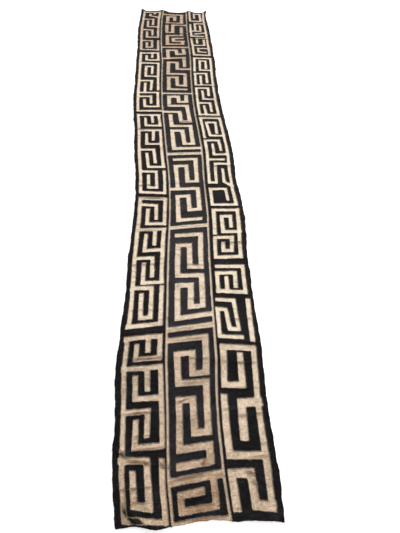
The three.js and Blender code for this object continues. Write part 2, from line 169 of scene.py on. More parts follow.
# The cloth's main ridges and troughs, in mm and degrees: the place of each one's middle, to the
# right of the middle of the near hem and along the cloth from it, then half its length, half its
# width, its height and its turn
fold_columns = ("x", "along", "across", "run", "height", "turn")
main_folds = np.array([
    (-160, -6, 54, 150, 19, 0),
    (-208, 20, 75, 24, 9, -32),
    (215, -4, 75, 42, 6, 0),
    (0, 104, 210, 34, 5, 4),
    (-60, 372, 330, 40, 6, 0),
    (90, 607, 320, 36, 6, 0),
    (0, 985, 420, 40, 5, 0),
    (-70, 1480, 360, 44, 5, 0),
    (60, 2020, 400, 46, 5, 0),
    (0, 2610, 420, 46, 6, 0),
    (-40, 3205, 400, 46, 6, 0),
    (-306, 3980, 60, 90, 14, 0),
    (-100, 3980, 55, 110, 9, 0),
    (124, 3980, 50, 110, 8, 0),
    (300, 3985, 55, 90, 18, 0),
    (-212, 16, 84, 46, 5.0, -36),
    (-217, 36, 70, 13, 9.0, -38),
    (-229, 20, 66, 11, -8.0, -38),
], dtype=[(column, float) for column in fold_columns])

# The small creases from folding and handling, in the same columns
creases = np.array([
    (-283, 243, 52, 13, 7.0, -30),
    (-200, 248, 130, 12, 4.2, 4),
    (-205, 205, 80, 13, 5.0, -10),
    (-125, 192, 42, 12, 4.6, -20),
    (-230, 122, 130, 9, 3.8, 2),
    (-200, 300, 80, 7, 2.2, 0),
    (25, 198, 30, 10, 2.6, 60),
    (196, 152, 40, 13, 3.8, -20),
    (-250, 78, 90, 10, 2.4, 3),
    (-30, 150, 110, 11, 3.6, 9),
    (40, 192, 90, 9, 1.8, 2),
    (-45, 427, 46, 8, 3.4, 18),
    (-210, 384, 150, 10, 3.4, 2),
    (-200, 500, 140, 9, 2.0, -2),
    (-190, 612, 170, 10, 3.4, 2),
    (20, 604, 110, 9, 2.8, -3),
    (215, 578, 110, 10, 3.6, -2),
    (225, 360, 110, 12, 3.2, 6),
    (150, 386, 60, 9, 2.2, -4),
    (215, 108, 60, 12, 3.8, -52),
    (240, 205, 90, 10, 2.6, 3),
    (0, 275, 120, 9, 1.8, 4),
    (-10, 500, 110, 9, 1.8, 2),
    (220, 470, 90, 9, 1.8, -5),
    (-220, 690, 120, 10, 2.2, 4),
    (20, 700, 130, 9, 2.2, 5),
    (240, 790, 110, 10, 2.6, -3),
    (-200, 850, 130, 10, 2.4, 0),
    (0, 905, 160, 10, 2.4, 3),
    (-210, 1110, 150, 11, 3.0, 2),
    (30, 1105, 120, 11, 2.6, -3),
    (250, 1245, 110, 12, 3.0, 3),
    (-200, 1335, 130, 12, 2.6, 0),
    (-180, 1575, 120, 13, 4.0, -4),
    (40, 1700, 150, 13, 2.6, 2),
    (-220, 1680, 110, 14, 3.2, 3),
    (230, 1850, 130, 14, 3.0, 4),
    (-200, 2215, 150, 15, 3.2, 1),
    (20, 2300, 150, 15, 3.0, -2),
    (220, 2350, 130, 15, 3.2, 2),
    (-190, 2440, 150, 15, 3.2, 0),
    (0, 2500, 160, 15, 3.2, 1),
    (-10, 2870, 140, 16, 3.6, 2),
    (210, 2740, 130, 16, 3.4, 0),
    (-200, 3070, 150, 16, 3.4, 0),
    (30, 3120, 130, 16, 3.6, 6),
    (-190, 3440, 150, 16, 3.4, 3),
    (10, 3545, 140, 17, 3.8, 0),
    (210, 3460, 130, 16, 3.4, 4),
    (-180, 3620, 140, 16, 3.4, 2),
    (0, 3720, 140, 17, 3.8, -2),
    (200, 3750, 130, 16, 3.4, 3),
], dtype=main_folds.dtype)
folds = np.concatenate([main_folds, creases])
slack_height = 1.0 * mm

# Painted shade where the cloth is pinched into a pleat so deep that hardly any light reaches its
# raffia, with a height of 1 for quite dark
painted_pleat_shades = np.array([
    (-222, 24, 90, 14, 2.2, -38),
    (-232, 13, 70, 26, 0.45, -38),
    (-290, 240, 46, 9, 0.8, -30),
], dtype=main_folds.dtype)

# How pale and how pink each panel's raffia has aged, how far its black dye has worn to slate and
# gone rusty, and the slant of its weft in degrees
panels = {
    "left_1": (0.30, 0.3, 0.0, 0.0, 1.5),
    "left_2": (0.75, 0.3, 0.1, 0.0, 2.0),
    "left_3": (0.90, 0.3, 0.1, 0.1, 0.0),
    "left_4": (0.90, 0.3, 0.1, 0.4, 0.0),
    "left_5": (0.35, 0.6, 0.0, 0.6, 0.0),
    "centre_1": (0.05, 0.3, 0.0, 0.0, 5.0),
    "centre_2": (0.20, 0.4, 0.3, 0.0, 4.0),
    "centre_3": (0.60, 0.3, 0.6, 0.0, 3.0),
    "centre_4": (0.75, 0.3, 0.6, 0.1, 3.5),
    "centre_5": (0.75, 0.4, 0.5, 0.2, 0.5),
    "centre_6": (0.30, 0.7, 0.4, 0.5, 1.5),
    "centre_7": (0.05, 0.7, 0.2, 0.7, 0.0),
    "right_1": (0.45, 0.3, 0.0, 0.0, -2.5),
    "right_2": (0.85, 0.2, 0.1, 0.0, -2.0),
    "right_3": (1.05, 0.2, 0.1, 0.1, 0.0),
    "right_4": (1.00, 0.2, 0.1, 0.5, 0.0),
    "right_5": (0.65, 0.5, 0.0, 0.7, 0.0),
}

# Raffia is browner by this much at the near hem, which fades out over this length.
# The painted crease shade on the raffia and the painted sheen on the black are full in a crease
# that stands this high, and less in a lower one by this power. The weave of each panel starts
# further on than the last, by so many metres each way.
near_hem_brown = 0.30
near_hem_fade_length = 0.45
shaded_crease_height = 3.0 * mm
crease_fade = 1.4
weave_apart = (0.37, 0.59)

# A sheet is a grid with a finer step near the camera, and the kinks in its sides and its ends are
# eased this often. Its slubs are longer along the weft, as x is taken shorter for them.
ground_thick = 1.2 * mm
slub_height = 0.18 * mm
slub_stretch = 0.3
near_panels = ("left_1", "centre_1", "centre_2", "right_1")
near_step = 4.5 * mm
far_step = 6.5 * mm
side_easing = 20
end_easing = 8

# Along a seam a sheet dips and reaches out, so that no floor shows between two panels. The sides
# of the centre band stay bare and paler, and its two hems fray. The other borders of the cloth are
# drawn in under the black.
seam_dip = 0.4 * mm
seam_reach = 0.25 * mm
bare_rim_columns = [0, 1, -2, -1]
bare_rim_pale = 0.3
bare_hem_panels = ("centre_1", "centre_7")
bare_hem_frayed = 1.6 * mm
border_inset = {"left": 6 * mm, "right": 6 * mm, "foot": 4 * mm, "head": 4 * mm}


def bell(q):
    """A soft hump from 0 at q = -1 over 1 at q = 0 to 0 at q = 1: (1 - q squared) squared."""
    return np.where(np.abs(q) < 1, (1 - q * q) ** 2, 0.0)


def fold_sum(x, y, rows):
    """The sum of the given folds at places in plan: each is its height times one bell over its
    length and one over its width, turned by its angle."""
    total = np.zeros_like(x)
    for fold in rows:
        from_x = x + middle - fold["x"] * mm
        from_y = y - near_line - fold["along"] * mm
        turn = math.radians(fold["turn"])
        over = (from_x * math.cos(turn) + from_y * math.sin(turn)) / (fold["across"] * mm)
        run = (from_y * math.cos(turn) - from_x * math.sin(turn)) / (fold["run"] * mm)
        total += fold["height"] * mm * bell(over) * bell(run)
    return total


def waves(x, y, shortest, longest, seed, count=7):
    """Smooth unevenness from about -1 to 1 in plan: 1.6 times the mean of sines that run every
    way, with lengths from shortest to longest."""
    draw = np.random.default_rng(seed)
    lengths = np.geomspace(shortest, longest, count)
    ways = draw.uniform(0, 2 * math.pi, count)
    starts = draw.uniform(0, 2 * math.pi, count)
    total = np.zeros_like(x)
    for length, way, start in zip(lengths, ways, starts):
        total += np.sin(2 * math.pi / length * (x * math.cos(way) + y * math.sin(way)) + start)
    return total * 1.6 / count


def lift(x, y):
    """Height of the cloth's underside: the sum of its folds, and a slack over the floor that waves
    between 0 and 2 mm."""
    uneven = waves(x, y, shortest=45 * mm, longest=260 * mm, seed=3)
    return fold_sum(x, y, folds) + slack_height * (1 + np.clip(uneven, -1, 1))


def top_rings(node):
    """The border of a CAD node's upper face as closed rings of plan points. Corners that are equal
    to 0.01 mm are made one, and the border is the sides that only one of the triangles facing up
    has, end to end."""
    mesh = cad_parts[node].data
    places = np.empty(len(mesh.vertices) * 3, np.float32)
    mesh.vertices.foreach_get("co", places)
    _, first, same = np.unique(
        places.reshape(-1, 3).round(5), axis=0, return_index=True, return_inverse=True
    )
    places = places.reshape(-1, 3)[first].astype(float)
    corners = np.empty(len(mesh.loops), np.int32)
    mesh.loops.foreach_get("vertex_index", corners)
    triangles = same.ravel()[corners].reshape(-1, 3)
    a, b, c = places[triangles].transpose(1, 0, 2)
    normals = np.cross(b - a, c - a)
    up = triangles[normals[:, 2] > 0.5 * np.linalg.norm(normals, axis=1)]
    sides = np.vstack([up[:, [0, 1]], up[:, [1, 2]], up[:, [2, 0]]])
    count = len(places)
    border = sides[~np.isin(sides[:, 0] * count + sides[:, 1], sides[:, 1] * count + sides[:, 0])]
    follows = dict(border.tolist())
    rings = []
    while follows:
        at, after = follows.popitem()
        ring = [at]
        while after in follows:
            ring.append(after)
            after = follows.pop(after)
        rings.append(places[ring][:, :2])
    return rings


def chain(ring, start, end, step):
    """The stretch of a ring from one corner to another, walked at equal steps."""
    size = (end - start) % len(ring)
    points = ring[(start + np.arange(size + 1)) % len(ring)]
    run = np.concatenate([[0], np.cumsum(np.hypot(*np.diff(points, axis=0).T))])
    at = np.linspace(0, run[-1], max(2, round(run[-1] / step) + 1))
    return np.stack([np.interp(at, run, points[:, i]) for i in (0, 1)], axis=1)


def panel_sides(node, step):
    """The foot, right, head and left sides of a ground panel, each from left to right or upwards.
    Its four corners are the points that reach furthest along the diagonals of its box."""
    ring = top_rings(node)[0]
    low, high = ring.min(axis=0), ring.max(axis=0)
    u, v = ((ring - low) / (high - low)).T
    near_left, near_right = np.argmin(u + v), np.argmax(u - v)
    far_right, far_left = np.argmax(u + v), np.argmin(u - v)
    return {
        "foot": chain(ring, near_left, near_right, step),
        "right": chain(ring, near_right, far_right, step),
        "head": chain(ring, far_right, far_left, step)[::-1],
        "left": chain(ring, far_left, near_left, step)[::-1],
    }


def between(points, count):
    """A row of points walked again in as many equal steps as asked for."""
    at = np.linspace(0, len(points) - 1, count)
    return np.stack([np.interp(at, np.arange(len(points)), points[:, i]) for i in (0, 1)], axis=1)


def eased(points, times):
    """A row of points with its kinks eased: each inner point moves halfway to the middle of its
    neighbours, as often as asked for."""
    points = points.copy()
    for _ in range(times):
        points[1:-1] += 0.5 * ((points[:-2] + points[2:]) / 2 - points[1:-1])
    return points


def spanned(sides, rows, columns):
    """A grid of plan points spanned between four sides: the mean of left and right plus that of
    foot and head, each by distance, less the same of the four corners."""
    left, right = (between(eased(sides[side], side_easing), rows) for side in ("left", "right"))
    foot, head = (between(eased(sides[side], end_easing), columns) for side in ("foot", "head"))
    u = np.linspace(0, 1, columns)[None, :, None]
    v = np.linspace(0, 1, rows)[:, None, None]
    corners = (1 - v) * ((1 - u) * foot[0] + u * foot[-1]) + v * ((1 - u) * head[0] + u * head[-1])
    lengthwise = (1 - v) * foot[None] + v * head[None]
    return lengthwise + (1 - u) * left[:, None] + u * right[:, None] - corners


def slab_faces(rows, columns):
    """Faces of a closed slab on a grid: upper and lower sheets of quads and the wall round them."""
    index = np.arange(rows * columns).reshape(rows, columns)
    a, b, c, d = index[:-1, :-1], index[:-1, 1:], index[1:, 1:], index[1:, :-1]
    upper = np.stack([a, b, c, d], axis=-1).reshape(-1, 4)
    layer = rows * columns
    lower = upper[:, ::-1] + layer
    rim = np.concatenate([index[0, :-1], index[:-1, -1], index[-1, :0:-1], index[:0:-1, 0]])
    after = np.roll(rim, -1)
    wall = np.stack([after, rim, rim + layer, after + layer], axis=-1)
    return np.vstack([upper, lower, wall])


def dress(made, name, x, y, seed, fair=0.0):
    """Gives a sheet its weave coordinates in metres, turned with the slant of its weft and moved
    apart by its seed. It also gives how pale, pink, slate, rusty and creased the sheet is at each
    point, the crease for painted shade and sheen, and the painted shade of its pinched pleats."""
    pale, pink, slate, rusty, slant = panels[name]
    mesh = made.data
    near_browning = near_hem_brown * np.clip(1 - (y - near_line) / near_hem_fade_length, 0, 1)
    # How high the creases stand, for painted shade on the raffia and painted sheen on the black
    crease = np.clip(fold_sum(x, y, creases) / shaded_crease_height, 0, 1) ** crease_fade
    values_of = {
        "pale": pale - near_browning + fair, "pink": pink, "slate": slate, "rusty": rusty,
        "crease": crease, "pleat_shade": fold_sum(x, y, painted_pleat_shades) / mm,
    }
    for title, values in values_of.items():
        data = mesh.attributes.new(title, "FLOAT", "POINT").data
        data.foreach_set("value", np.broadcast_to(values, x.shape).astype(np.float32))
    turn = math.radians(slant)
    across = x * math.cos(turn) + y * math.sin(turn) + seed * weave_apart[0]
    length = y * math.cos(turn) - x * math.sin(turn) + seed * weave_apart[1]
    corners = np.empty(len(mesh.loops), np.int32)
    mesh.loops.foreach_get("vertex_index", corners)
    weave = np.stack([across, length], axis=1)[corners]
    mesh.uv_layers.new(name="weave").data.foreach_set("uv", weave.astype(np.float32).ravel())


def unevenness(tree, weave, cells, detail, low, high, roughness=0.55):
    """Noise over the weave with so many cells a metre along the weft and along the warp, stretched
    so that low becomes 0 and high becomes 1."""
    placed = add(tree, "Mapping", {"Vector": weave, "Scale": (*cells, 1)})
    noise = add(
        tree, "TexNoise",
        {"Vector": placed.outputs[0], "Scale": 1.0, "Detail": detail, "Roughness": roughness},
    )
    levels = {"Value": noise.outputs[0], "From Min": low, "From Max": high}
    return add(tree, "MapRange", levels).outputs[0]


def strands_of_leaf(tree, weave):
    """One random level for each strip of leaf that shows in the weave, 5.5 mm along the weft by
    4.5 mm."""
    placed = add(tree, "Mapping", {"Vector": weave, "Scale": (180, 220, 1)}).outputs[0]
    return add(tree, "TexVoronoi", {"Vector": placed, "Scale": 1.0}).outputs["Color"]


def sum_of(tree, start, *terms):
    """A start number with terms added, each times its weight."""
    total = start
    for value, weight in terms:
        total = add(
            tree, "Math", {0: value, 1: weight, 2: total}, operation="MULTIPLY_ADD"
        ).outputs[0]
    return total


def wrinkles(tree):
    """Fine lines, mostly straight across the cloth, where it was once folded: the level lines of a
    noise 250 mm across by 26 mm, faded in and out by a broad one. Both layers share them."""
    where = add(tree, "TexCoord").outputs["Object"]
    placed = add(tree, "Mapping", {"Vector": where, "Scale": (4.0, 38.0, 1)}).outputs[0]
    noise = add(tree, "TexNoise", {"Vector": placed, "Scale": 1.0, "Detail": 1.0}).outputs[0]
    off_level = add(tree, "Math", {0: noise, 1: 0.5}, operation="SUBTRACT").outputs[0]
    off_level = add(tree, "Math", {0: off_level}, operation="ABSOLUTE").outputs[0]
    near_level = {"Value": off_level, "From Min": 0.045, "From Max": 0.0}
    line = add(tree, "MapRange", near_level).outputs[0]
    broad = add(tree, "TexNoise", {"Vector": where, "Scale": 7.0, "Detail": 2.0}).outputs[0]
    shown = add(tree, "MapRange", {"Value": broad, "From Min": 0.46, "From Max": 0.62}).outputs[0]
    return add(tree, "Math", {0: line, 1: shown}, operation="MULTIPLY").outputs[0]


def woven_relief(tree, weave, *terms):
    """The surface of a plain weave, up to 0.5 mm deep: one smooth wave for each thread of the weft
    and of the warp, plus the given terms, each times its weight."""
    scale = 2 * math.pi / (20 * rib_width)
    weft, warp = (
        add(tree, "TexWave", {"Vector": weave, "Scale": scale}, bands_direction=way).outputs[1]
        for way in "YX"
    )
    relief = sum_of(tree, 0.0, (weft, 0.35), (warp, 0.25), *terms)
    return add(tree, "Bump", {"Height": relief, "Strength": 0.7, "Distance": 0.5 * mm}).outputs[0]


# Undyed raffia, plain woven from split palm leaf: matt straw with tan and pinkish stretches, long
# pale and dark weft slubs, a fine ribbed weave and brown stains. Brown painted shade lies in the
# creases and along the fine fold lines, and nearly black painted shade in the pinched pleat. The
# real threads are about 0.8 mm wide, each strip of leaf a little paler or browner than the next.
# The ribs are drawn at 2.6 mm, the strips at 4.5 by 5.5 mm and the slubs 6 mm wide to show.
rib_width = 2.6 * mm
natural, tree = new_material("undyed raffia weave")
weave = add(tree, "UVMap", uv_map="weave").outputs[0]
slub = unevenness(tree, weave, (26, 165), 3, 0.34, 0.66)
warp = unevenness(tree, weave, (210, 11), 2, 0.3, 0.7)
speck = unevenness(tree, weave, (115, 150), 4, 0.3, 0.7, 0.7)
grain = unevenness(tree, weave, (260, 310), 2, 0.3, 0.7, 0.6)
smudge = unevenness(tree, weave, (38, 46), 3, 0.5, 0.72)
strand = strands_of_leaf(tree, weave)
patch = unevenness(tree, weave, (11, 8), 3, 0.32, 0.68)
stain = unevenness(tree, weave, (17, 21), 3, 0.56, 0.74)
wrinkle = wrinkles(tree)
pale, pink, crease, pleat_shade = (
    add(tree, "Attribute", attribute_name=title).outputs["Fac"]
    for title in ("pale", "pink", "crease", "pleat_shade")
)
fairness = sum_of(
    tree, -0.57, (pale, 0.82), (slub, 0.14), (warp, 0.08), (speck, 0.26), (grain, 0.34),
    (patch, 0.25), (strand, 0.60),
)
blush = add(tree, "Math", {0: patch, 1: pink}, operation="MULTIPLY").outputs[0]
# Stains and smudges are the raffia's own. The crease and wrinkle terms are painted shade, browner
# along the folds.
stains_and_crease_shade = sum_of(tree, 0.0, (stain, 0.24), (smudge, 0.24), (crease, 0.78), (wrinkle, 0.36))
colour = linear("#8c6c4a")
# The last coat is painted shade, nearly black, in the pinched pleat.
for amount, tone in (
    (fairness, "#f4e6cd"), (blush, "#dcb8a2"), (stains_and_crease_shade, "#6a4c35"), (pleat_shade, "#1d1510"),
):
    colour = add(tree, "Mix", {0: amount, 6: colour, 7: linear(tone)}, data_type="RGBA").outputs[2]
relief = woven_relief(tree, weave, (slub, 1.0), (speck, 0.8), (grain, 0.6), (wrinkle, -2.2))
surface = add(tree, "BsdfPrincipled", {
    "Base Color": colour, "Roughness": 0.85, "Specular IOR Level": 0.2,
    "Sheen Weight": 0.08, "Sheen Roughness": 0.5, "Normal": relief,
})
add(tree, "OutputMaterial", {"Surface": surface.outputs[0]})

outer_sides = {"left": {"left"}, "right": {"right"}, "centre": set()}
last_panels = ("left_5", "centre_7", "right_5")

# The cells of a grid along each side, and the way from there into the panel
side_cells = (
    ("left", (slice(None), 0), (1, 0)),
    ("right", (slice(None), -1), (-1, 0)),
    ("foot", (0, slice(None)), (0, 1)),
    ("head", (-1, slice(None)), (0, -1)),
)


def free_sides(name):
    """The sides of a panel on the border of the cloth: its outer side and its hem, if it has
    any."""
    free = set(outer_sides[name.split("_")[0]])
    if name.endswith("_1"):
        free.add("foot")
    if name in last_panels:
        free.add("head")
    return free


sides_of = {name: panel_sides("ground_" + name, far_step) for name in panels}
for seed, (name, sides) in enumerate(sides_of.items()):
    length = np.hypot(*(sides["left"][-1] - sides["left"][0]))
    width = np.hypot(*(sides["foot"][-1] - sides["foot"][0]))
    step = near_step if name in near_panels else far_step
    rows, columns = round(length / step) + 1, round(width / step) + 1
    grid = spanned(sides, rows, columns)
    seamed, fair = np.zeros((rows, columns)), np.zeros((rows, columns))
    if name.startswith("centre"):
        fair[:, bare_rim_columns] = bare_rim_pale
    for side, cells, way in side_cells:
        if side not in free_sides(name):
            seamed[cells] = 1.0
            grid[cells] -= np.array(way) * seam_reach
        elif name in bare_hem_panels:
            uneven = waves(*grid[cells].T, shortest=9 * mm, longest=60 * mm, seed=21)
            grid[cells] += np.array(way) * (bare_hem_frayed * (1 + uneven))[:, None]
        else:
            grid[cells] += np.array(way) * border_inset[side]
    x, y = grid.reshape(-1, 2).T
    seamed = seamed.ravel()
    under = lift(x, y)
    uneven = waves(x * slub_stretch, y, shortest=9 * mm, longest=26 * mm, seed=40 + seed)
    slubs = slub_height * uneven - seam_dip * seamed
    places = np.vstack([
        np.stack([x, y, under + ground_thick + slubs], axis=1),
        np.stack([x, y, under], axis=1),
    ])
    made = piece_from("natural_" + name, places, slab_faces(rows, columns), natural)
    dress(made, name, places[:, 0], places[:, 1], seed, np.tile(fair.ravel(), 2))
    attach(made, "root")
    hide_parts("ground_" + name)


# Black panels
# On each ground panel lies one of raffia dyed black. The maze is cut out of it by hand, and its
# cut edges are turned under, so they stand a little thicker than the middle of each stroke.

# The edges are walked in these steps, one for each stitch. The turned raffia spreads into the
# slots, every other stitch draws it in again, and the cut edges and the border of the cloth wander
# to each side by this much.
near_cut = 4.5 * mm
far_cut = 6 * mm
finely_cut = ("left_1", "left_2", "centre_1", "centre_2", "centre_3", "right_1", "right_2")
near_spread = 0.4 * mm
far_spread = 1.4 * mm
pucker = 0.45 * mm
cut_wobble = 1.2 * mm
border_wobble = 2.6 * mm
border_nicks = 1.0 * mm
cut_easing = 1
border_easing = 12

# A point this near to a panel's corner is a corner too, this near to one of its sides it lies on
# that side, and this near to a corner it stays where it is. The sides are walked this many times
# finer for that.
corner_reach = 1.5 * mm
side_reach = 1.3 * mm
held_reach = 0.5 * mm
finer_sides = 6

# The raffia is double where it is turned, rounded off at the very edge, and a little quilted in
# the middle of a stroke. It lies just over the ground, and on the border reaches down beside it.
turned_thick = 1.5 * mm
single_thick = 0.9 * mm
rounded_share = 0.55
quilt_height = 0.16 * mm
layer_gap = 0.05 * mm
border_gap = 0.3 * mm

# The points of a sheet follow its edge on the lip and where the turned part ends, and fill the
# rest at these steps in rows of even triangles.
turned_width = 3.2 * mm
lip = 0.8 * mm
near_fill = 6 * mm
far_fill = 8.5 * mm
row_height = 0.87

# What a point of a cut ring lies on, the rows of points that a sheet is made of from its edge
# inwards, and how many points are measured at once
on_cut, on_seam, on_border = 0, 1, 2
edge_row, lip_row, turned_row, inner_grid = 0, 1, 2, 3
block_size = 2000


def nearest(points, others):
    """The distance from each point to the nearest of the others, worked out in blocks."""
    blocks = np.array_split(points, max(1, len(points) // block_size))
    return np.concatenate([
        np.hypot(*(block[:, None] - others[None]).transpose(2, 0, 1)).min(axis=1)
        for block in blocks
    ])


def inside(points, rings):
    """Which points lie in a shape: those from which a line to the right crosses its rings an odd
    number of times."""
    starts = np.vstack(rings)
    ends = np.vstack([np.roll(ring, -1, axis=0) for ring in rings])
    found = []
    for block in np.array_split(points, max(1, len(points) // block_size)):
        x, y = block[:, :1], block[:, 1:]
        spans = (starts[:, 1] > y) != (ends[:, 1] > y)
        rise = np.where(ends[:, 1] == starts[:, 1], 1, ends[:, 1] - starts[:, 1])
        crossing = starts[:, 0] + (y - starts[:, 1]) * (ends[:, 0] - starts[:, 0]) / rise
        found.append((spans & (x < crossing)).sum(axis=1) % 2 == 1)
    return np.concatenate(found)


def walked(ring, step, kept):
    """A closed ring walked in an even number of equal steps, of which the ones nearest to the
    points that are kept move onto them."""
    closed = np.vstack([ring, ring[:1]])
    run = np.concatenate([[0], np.cumsum(np.hypot(*np.diff(closed, axis=0).T))])
    count = max(8, 2 * round(run[-1] / (2 * step)))
    at = np.arange(count) * run[-1] / count
    for index in kept:
        at[round(run[index] / run[-1] * count) % count] = run[index]
    return np.stack([np.interp(at, run, closed[:, i]) for i in (0, 1)], axis=1)


def sharp(ring):
    """The corners of a ring where its way turns by more than 40 degrees."""
    into = ring - np.roll(ring, 1, axis=0)
    out = np.roll(ring, -1, axis=0) - ring
    lengths = np.maximum(np.hypot(*into.T) * np.hypot(*out.T), 1e-12)
    return np.flatnonzero((into * out).sum(axis=1) / lengths < math.cos(math.radians(40)))


def inward(ring):
    """Unit normals of a ring towards the cloth, which lies on its left."""
    way = np.roll(ring, -1, axis=0) - np.roll(ring, 1, axis=0)
    way /= np.maximum(np.hypot(*way.T), 1e-9)[:, None]
    return np.stack([-way[:, 1], way[:, 0]], axis=1)


def hand_cut(ring, name):
    """A cut ring as the hand leaves it: corners eased, edges a little wavy, spread by the turned
    raffia and drawn in at every other stitch. Points on seams stay, and the border of the cloth is
    eased more. Returns the ring and what each of its points lies on."""
    step, spread = (near_cut, near_spread) if name in finely_cut else (far_cut, far_spread)
    corners = np.vstack([side[[0, -1]] for side in sides_of[name].values()])
    kept = np.union1d(sharp(ring), np.flatnonzero(nearest(ring, corners) < corner_reach))
    ring = walked(ring, step, kept)
    place = np.full(len(ring), on_cut)
    for side, points in sides_of[name].items():
        close = nearest(ring, between(points, len(points) * finer_sides)) < side_reach
        place[close] = on_border if side in free_sides(name) else on_seam
    place[nearest(ring, corners) < held_reach] = on_seam
    for done in range(border_easing):
        moving = (place == on_border) | ((place == on_cut) & (done < cut_easing))
        mean = (np.roll(ring, 1, axis=0) + np.roll(ring, -1, axis=0)) / 2
        ring = ring + np.where(moving, 0.5, 0.0)[:, None] * (mean - ring)
    drawn_in = pucker * (np.arange(len(ring)) % 2) - spread
    wavy = cut_wobble * waves(*ring.T, shortest=20 * mm, longest=90 * mm, seed=11)
    ragged = border_wobble * waves(*ring.T, shortest=60 * mm, longest=240 * mm, seed=12, count=5)
    nicks = border_nicks * waves(*ring.T, shortest=12 * mm, longest=50 * mm, seed=13)
    shift = np.select([place == on_cut, place == on_border], [wavy + drawn_in, ragged + nicks], 0.0)
    return ring + shift[:, None] * inward(ring), place


def filling(rings, low, high, step):
    """Free points for the inside of a sheet: two rows that follow its edges, and a grid with every
    other line set half a step over. Points that come too near the edge again are left out.
    Returns them and the row that each is in."""
    edge = np.vstack(rings)
    rows = []
    for row, offset in ((lip_row, lip), (turned_row, turned_width)):
        points = np.vstack([ring + offset * inward(ring) for ring in rings])
        rows.append((points[nearest(points, edge) > 0.9 * offset], row))
    across = np.arange(low[0], high[0], step)
    along = np.arange(low[1], high[1], step * row_height)
    x, y = np.meshgrid(across, along)
    x = x + step / 2 * (np.arange(len(along)) % 2)[:, None]
    points = np.stack([x.ravel(), y.ravel()], axis=1)
    points = points[nearest(points, edge) > turned_width + 0.45 * step]
    rows.append((points, inner_grid))
    row_of = np.concatenate([np.full(len(points), row) for points, row in rows])
    return np.vstack([points for points, _ in rows]), row_of


def triangulated(rings, free_points):
    """Triangles of the shape inside the rings, through the free points. Those with all three
    corners on the rings stay only where their middle is inside. Returns all points, the index of
    the given point that each one is, and the triangles."""
    rings_points = np.vstack(rings)
    starts = np.cumsum([0] + [len(ring) for ring in rings])
    turns = [start + np.arange(len(ring)) for start, ring in zip(starts, rings)]
    edges = np.vstack([np.stack([turn, np.roll(turn, -1)], axis=1) for turn in turns])
    points = np.vstack([rings_points, free_points])
    found, _, faces, source, _, _ = delaunay_2d_cdt(points.tolist(), edges.tolist(), [], 0, 1e-7)
    found = np.array([tuple(point) for point in found])
    source = np.array([given[0] if given else 0 for given in source])
    faces = np.array(faces)
    whole_edge = (source[faces] < len(rings_points)).all(axis=1)
    kept = ~whole_edge
    kept[whole_edge] = inside(found[faces[whole_edge]].mean(axis=1), rings)
    return found, source, faces[kept]


# Raffia dyed black in a mud and leaf bath: matt and sooty, slate where the dye has worn, brown
# where it has gone rusty, with grey weft lines, and with painted sheen as grey lines along creases
# and fine folds. The real threads are about 0.8 mm wide. The ribs are drawn at 2.6 mm and the weft
# lines at 6 mm to show.
black, tree = new_material("black-dyed raffia weave")
weave = add(tree, "UVMap", uv_map="weave").outputs[0]
slub = unevenness(tree, weave, (15, 170), 3, 0.36, 0.7)
speck = unevenness(tree, weave, (120, 140), 4, 0.3, 0.7, 0.7)
strand = strands_of_leaf(tree, weave)
patch = unevenness(tree, weave, (9, 7), 3, 0.34, 0.68)
wrinkle = wrinkles(tree)
slate, rusty, crease = (
    add(tree, "Attribute", attribute_name=title).outputs["Fac"]
    for title in ("slate", "rusty", "crease")
)
# Slate, slubs, specks, patches and strands are wear. The crease and wrinkle terms are painted
# sheen, greyer along the folds.
wear_and_fold_sheen = sum_of(
    tree, -0.68, (slate, 1.0), (slub, 0.28), (speck, 0.34), (patch, 0.34), (strand, 0.5),
    (crease, 0.10), (wrinkle, 0.18),
)
warmth = add(tree, "Math", {0: speck, 1: 0.25}, operation="MULTIPLY").outputs[0]
colour = linear("#040304")
for amount, tone in ((wear_and_fold_sheen, "#373438"), (warmth, "#1f1816"), (rusty, "#140d08")):
    colour = add(tree, "Mix", {0: amount, 6: colour, 7: linear(tone)}, data_type="RGBA").outputs[2]
relief = woven_relief(tree, weave, (slub, 1.0), (speck, 0.7), (wrinkle, -2.2))
surface = add(tree, "BsdfPrincipled", {
    "Base Color": colour, "Roughness": 0.8, "Specular IOR Level": 0.12,
    "Sheen Weight": 0.02, "Sheen Roughness": 0.45, "Normal": relief,
})
add(tree, "OutputMaterial", {"Surface": surface.outputs[0]})

